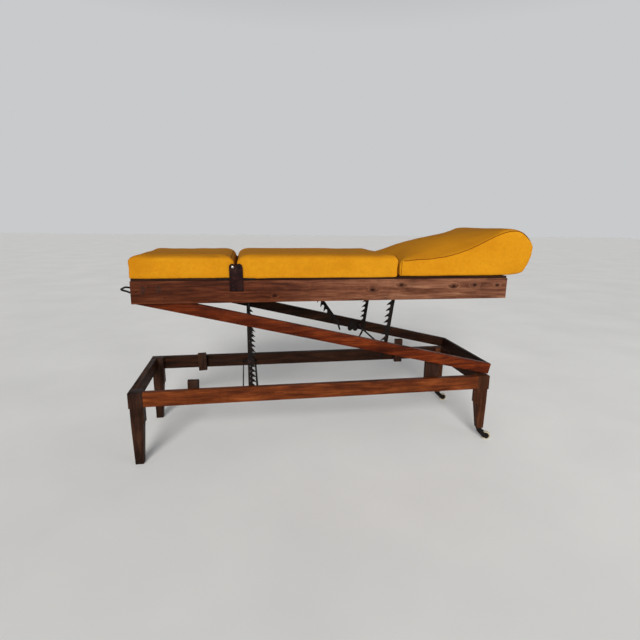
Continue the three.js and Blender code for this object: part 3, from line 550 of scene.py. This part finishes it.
# ---------- cushions ----------
PAD_INSET = 0.006
PAD_PUSH = 0.006
CLOTH_STEPS = 20
CLOTH = {
    "quality": 6, "mass": 0.35, "tension_stiffness": 14, "compression_stiffness": 14, "shear_stiffness": 6,
    "bending_stiffness": 0.6, "use_pressure": True, "uniform_pressure_force": 4.0,
}
HEM = 0.0075
HEM_HEIGHT = 0.012
HEM_WRAP = 0.0014
SIDE_STRIP = 0.010
EDGE_ROLL = 0.028
EDGE_ROLL_SHARE = 0.75
PAD_MEETS = 0.0064
FOOT_FLARE = 0.009


def applied(made):
    """Replaces an object's mesh by what its modifiers make of it."""
    graph = bpy.context.evaluated_depsgraph_get()
    graph.update()
    mesh = bpy.data.meshes.new_from_object(made.evaluated_get(graph))
    made.modifiers.clear()
    made.data = mesh
    return made


def numbers(mesh, what="co"):
    """A mesh's point coordinates or normals as an array."""
    data = np.zeros(len(mesh.vertices) * 3, np.float32)
    mesh.vertices.foreach_get(what, data)
    return data.reshape(-1, 3).astype(float)


def put(mesh, co):
    mesh.vertices.foreach_set("co", co.astype(np.float32).ravel())
    mesh.update()


def drawn_in(co, low, high):
    """Moves points towards the box's middle line, so that there is room for the cover to swell."""
    middle, half = (low + high) / 2, (high - low) / 2
    for k in range(2):
        co[:, k] = middle[k] + (co[:, k] - middle[k]) * (half[k] - PAD_INSET) / half[k]
    rise = np.clip((co[:, 2] - low.z - 0.02) / 0.05, 0, 1)
    co[:, 2] -= PAD_INSET * 0.9 * rise


def blow_up(made, low, rest):
    """Lets cloth on the body's surface fill under pressure, held where it rests on the board."""
    pins = made.vertex_groups.new(name="rest")
    held = np.nonzero(rest[:, 2] < low.z + 0.004)[0]
    pins.add([int(i) for i in held], 1.0, "REPLACE")
    cloth = made.modifiers.new("cloth", "CLOTH")
    for key, value in CLOTH.items():
        setattr(cloth.settings, key, value)
    cloth.settings.effector_weights.gravity = 0
    cloth.settings.vertex_group_mass = "rest"
    cloth.point_cache.frame_start = 1
    cloth.point_cache.frame_end = CLOTH_STEPS
    for step in range(1, CLOTH_STEPS + 1):
        bpy.context.scene.frame_set(step)
    applied(made)
    bpy.context.scene.frame_set(1)
    move = numbers(made.data) - rest
    length = np.maximum(np.linalg.norm(move, axis=1, keepdims=True), 1e-9)
    return rest + move / length * PAD_PUSH * np.tanh(length / PAD_PUSH)


def rolled(co, low, high, radius):
    """Turns the upper long edges over, as stuffing does under a tight cover."""
    to_side = np.clip(np.minimum(co[:, 1] - low.y, high.y - co[:, 1]), 0, radius)
    drop = radius * (1 - np.sqrt(1 - (1 - to_side / radius) ** 2))
    share = np.clip((co[:, 2] - high.z) / (2 * radius) + 1, 0, 1)
    co[:, 2] -= drop * share * EDGE_ROLL_SHARE


def cushion(node, voxel, ends, roll=0.0, flare=0.0):
    """A pad blown up like cloth from a slightly smaller body; ends are its foot and head end lines."""
    low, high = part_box(node)
    made = clean_copy(node, node.replace("cushion", "pad"))
    co = numbers(made.data)
    drawn_in(co, low, high)
    put(made.data, co)
    remesh = made.modifiers.new("even", "REMESH")
    remesh.mode = "VOXEL"
    remesh.voxel_size = voxel
    applied(made)
    rest = numbers(made.data)
    blown = blow_up(made, low, rest)
    put(made.data, blown)
    made.vertex_groups.clear()
    settle(made, low, high, ends, roll, flare)
    made.data.materials.clear()
    made.data.materials.append(FABRIC)
    return made


def smooth(mesh, rounds):
    """A mesh's points, each moved halfway to the mean of its neighbours, some rounds over."""
    edges = np.array([e.vertices[:] for e in mesh.edges])
    co = numbers(mesh)
    count = np.zeros(len(co))
    np.add.at(count, edges[:, 0], 1)
    np.add.at(count, edges[:, 1], 1)
    for _ in range(rounds):
        total = np.zeros_like(co)
        np.add.at(total, edges[:, 0], co[edges[:, 1]])
        np.add.at(total, edges[:, 1], co[edges[:, 0]])
        co += 0.5 * (total / np.maximum(count, 1)[:, None] - co)
    return co


def settle(made, low, high, ends, roll, flare):
    """Eases the blown pad, fits it to its own limits and draws the cover down over the board."""
    co = smooth(made.data, 3)
    targets = [ends, (low.y - 0.0006, high.y + 0.0006), (low.z, high.z + 0.001)]
    for k, (start, stop) in enumerate(targets):
        now0, now1 = co[:, k].min(), co[:, k].max()
        co[:, k] = start + (co[:, k] - now0) * (stop - start) / (now1 - now0)
    if roll:
        rolled(co, low, high, roll)
    height = np.clip((co[:, 2] - low.z) / 0.07, 0, 1)
    co[:, 0] -= flare * height * np.clip(1 - (co[:, 0] - ends[0]) / 0.06, 0, 1)
    to_ends = np.minimum(co[:, 0] - ends[0], ends[1] - co[:, 0])
    to_edge = np.minimum.reduce([to_ends, co[:, 1] - low.y, high.y - co[:, 1]])
    hem = np.clip(1 - (co[:, 2] - low.z) / HEM_HEIGHT, 0, 1) * np.clip(1.3 - to_edge / 0.008, 0, 1)
    co[:, 2] -= hem * HEM
    sides = np.abs(co[:, 1]) > high.y - SIDE_STRIP
    reach = np.where(sides, high.y + HEM_WRAP, np.abs(co[:, 1]))
    co[:, 1] += np.sign(co[:, 1]) * hem * (reach - np.abs(co[:, 1]))
    put(made.data, co)


def folds(made, amounts=()):
    """Soft unevenness, with hollows and ridges: each is centre, radii and depth along the normal."""
    co, normals = numbers(made.data), numbers(made.data, "normal")
    depth = np.zeros(len(co))
    for centre, radii, amount in amounts:
        away = (((co - np.array(centre)) / np.array(radii)) ** 2).sum(axis=1)
        depth += amount * np.exp(-away * 1.5)
    for i, p in enumerate(co):
        depth[i] += noise.noise(Vector((p[0] * 5, p[1] * 7, p[2] * 9))) * 0.0022
        depth[i] += noise.noise(Vector((p[0] * 16, p[1] * 18, p[2] * 22))) * 0.0007
    put(made.data, co + normals * depth[:, None])


def piping(name, corners, surface, radius, body, lift):
    """A thin cord of seam laid over a pad's surface along a line through corners."""
    points = []
    for a, b in zip(corners, corners[1:]):
        points += [a.lerp(b, k / 6) for k in range(6)]
    curve = bpy.data.curves.new(name, "CURVE")
    curve.dimensions = "3D"
    curve.bevel_depth = radius
    curve.bevel_resolution = 2
    spline = curve.splines.new("POLY")
    spline.points.add(len(points) - 1)
    for target, point in zip(spline.points, points):
        found, normal, _, _ = surface.find_nearest(point)
        target.co = (*(found + normal * lift), 1)
    made = bpy.data.objects.new(name, curve)
    bpy.context.scene.collection.objects.link(made)
    made.data.materials.append(SEAM)
    graph = bpy.context.evaluated_depsgraph_get()
    graph.update()
    mesh = bpy.data.meshes.new_from_object(made.evaluated_get(graph))
    bpy.data.objects.remove(made)
    solid = bpy.data.objects.new(name, mesh)
    bpy.context.scene.collection.objects.link(solid)
    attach(solid, body)
    return solid


def finish_pad(made, node, body):
    """Smooths a finished pad's faces, hides its CAD node and lets it ride with its section."""
    for polygon in made.data.polygons:
        polygon.use_smooth = True
    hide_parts(node)
    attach(made, body)


def surface_of(made):
    """A pad's surface, ready to be asked for its nearest point."""
    corners = [vertex.co[:] for vertex in made.data.vertices]
    return BVHTree.FromPolygons(corners, [polygon.vertices[:] for polygon in made.data.polygons])


# Seams, in millimetres: the head pad's crest is (x, z), the others are single positions.
CREST = [
    (1226, 912), (1260, 918), (1320, 921), (1380, 926), (1440, 936), (1490, 949), (1540, 966), (1590, 988),
    (1640, 1012), (1690, 1034), (1740, 1047), (1786, 1047), (1822, 1028), (1850, 998),
]
HEAD_CORNER = (1216, (852, 872, 892, 912))
SEAT_CORNER = (1200, (850, 870, 890, 908))
CROSS_SEAM = range(-256, 257, 32)


def build_leg_pad():
    low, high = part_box("leg_cushion")
    leg = cushion("leg_cushion", 0.007, (low.x, high.x + PAD_MEETS), EDGE_ROLL, FOOT_FLARE)
    folds(leg, [(at(52, -262, 900), (0.02, 0.02, 0.05), -0.003)])
    finish_pad(leg, "leg_cushion", "leg_section")
    return leg


def build_seat_pad():
    low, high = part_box("seat_cushion")
    seat = cushion("seat_cushion", 0.008, (low.x - PAD_MEETS, high.x + 0.004), EDGE_ROLL)
    folds(seat)
    finish_pad(seat, "seat_cushion", "back_section")
    return seat


def build_head_pad():
    low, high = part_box("head_cushion")
    head = cushion("head_cushion", 0.008, (low.x - 0.003, high.x))
    folds(head)
    finish_pad(head, "head_cushion", "back_section")
    return head


def build_seams(leg, seat, head):
    surface = surface_of(head)
    corner_x, heights = HEAD_CORNER
    for side, label in ((-1, "left"), (1, "right")):
        crest = [at(x, side * 268, z + 4) for x, z in CREST]
        piping(f"head_pad_piping.{label}", crest, surface, 0.0014, "back_section", 0.0007)
        upright = [at(corner_x, side * 271, z) for z in heights]
        piping(f"head_pad_seam.{label}", upright, surface, 0.0011, "back_section", 0.0005)
    corner_x, heights = SEAT_CORNER
    rise = [at(corner_x, -272, z) for z in heights]
    across = [at(1196, y, 950) for y in CROSS_SEAM]
    piping("seat_pad_seam", rise + across, surface_of(seat), 0.0012, "back_section", 0.0005)
    across = [at(474, y, 946) for y in CROSS_SEAM]
    piping("leg_pad_seam", across, surface_of(leg), 0.0011, "leg_section", 0.0003)


# ---------- stage ----------
FLOOR_REACH = 40.0
# Sky colours by the upward part of the view direction: even up to 0.36, darkest from 0.8.
SKY = ((0.36, rgb(200, 202, 204)), (0.8, rgb(104, 105, 108)))
SUN_AIM = (0.22, 0.9, -0.4)
SUN_ENERGY = 3.3
SUN_ANGLE = 24
FILL_PLACE = (3.2, -3.0, 1.6)
FILL_TARGET = (0.2, 0.0, 0.6)
FILL_SIZE = (2.6, 2.2)
FILL_POWER = 26


def lamp(name, data, aim, colour):
    """Adds a light that shines along aim."""
    data.color = colour
    made = bpy.data.objects.new(name, data)
    made.rotation_mode = "QUATERNION"
    made.rotation_quaternion = Vector(aim).to_track_quat("-Z", "Y")
    bpy.context.scene.collection.objects.link(made)
    return made


def build_floor():
    mesh = bpy.data.meshes.new("floor")
    corners = [(x * FLOOR_REACH, y * FLOOR_REACH, 0) for x, y in ((-1, -1), (1, -1), (1, 1), (-1, 1))]
    mesh.from_pydata(corners, [], [(0, 1, 2, 3)])
    floor = bpy.data.objects.new("floor", mesh)
    bpy.context.scene.collection.objects.link(floor)
    s = Shader("pale_floor")
    cloud = s.noise(s.coords, 1.3, 3.0)
    colour = s.mix(s.range(cloud, 0.3, 0.7), rgb(228, 227, 225), rgb(236, 235, 232))
    s.set(Base_Color=colour, Roughness=s.range(cloud, 0.3, 0.7, 0.5, 0.62), Specular_IOR_Level=0.15)
    mesh.materials.append(s.material)


def build_lights():
    """A pale sky, one large soft sun from the front and a weak fill from the right."""
    world = bpy.data.worlds.new("studio")
    bpy.context.scene.world = world
    world.use_nodes = True
    tree = world.node_tree
    shade = tree.nodes["Background"]
    coords = tree.nodes.new("ShaderNodeTexCoord")
    split = tree.nodes.new("ShaderNodeSeparateXYZ")
    ramp = tree.nodes.new("ShaderNodeValToRGB")
    tree.links.new(coords.outputs["Generated"], split.inputs[0])
    tree.links.new(split.outputs[2], ramp.inputs[0])
    tree.links.new(ramp.outputs[0], shade.inputs["Color"])
    for element, (place, colour) in zip(ramp.color_ramp.elements, SKY):
        element.position = place
        element.color = (*colour, 1)
    shade.inputs["Strength"].default_value = 1.0
    sun = bpy.data.lights.new("key", "SUN")
    sun.energy = SUN_ENERGY
    sun.angle = math.radians(SUN_ANGLE)
    lamp("key", sun, SUN_AIM, (1.0, 0.985, 0.965))
    fill = bpy.data.lights.new("fill", "AREA")
    fill.shape = "RECTANGLE"
    fill.size, fill.size_y = FILL_SIZE
    fill.energy = FILL_POWER
    made = lamp("fill", fill, Vector(FILL_TARGET) - Vector(FILL_PLACE), (0.97, 0.98, 1.0))
    made.location = FILL_PLACE


CAMERA_PLACE = (517.5, -2154.2, 1071.7)
CAMERA_FORWARD = (0.16599, 0.96238, -0.21510)
CAMERA_RIGHT = (0.98544, -0.16997, 0.0)
CAMERA_ROLL = 0.70
CAMERA_LENS = 24.47


def build_camera():
    """The photograph's viewpoint: place in millimetres from the foot end, lens in millimetres."""
    data = bpy.data.cameras.new("camera")
    data.sensor_width = 36
    data.lens = CAMERA_LENS
    data.clip_start = 0.05
    data.clip_end = 60
    camera = bpy.data.objects.new("camera", data)
    forward = Vector(CAMERA_FORWARD).normalized()
    right = Vector(CAMERA_RIGHT).normalized()
    up = right.cross(forward).normalized()
    roll = math.radians(CAMERA_ROLL)
    side = math.cos(roll) * right + math.sin(roll) * up
    top = -math.sin(roll) * right + math.cos(roll) * up
    turn = Matrix((side, top, -forward)).transposed()
    camera.matrix_world = Matrix.Translation(at(*CAMERA_PLACE)) @ turn.to_4x4()
    bpy.context.scene.collection.objects.link(camera)
    bpy.context.scene.camera = camera


build_solids()
build_fittings()
build_seams(build_leg_pad(), build_seat_pad(), build_head_pad())
build_floor()
build_lights()
build_camera()
bpy.context.scene.view_settings.view_transform = "Standard"
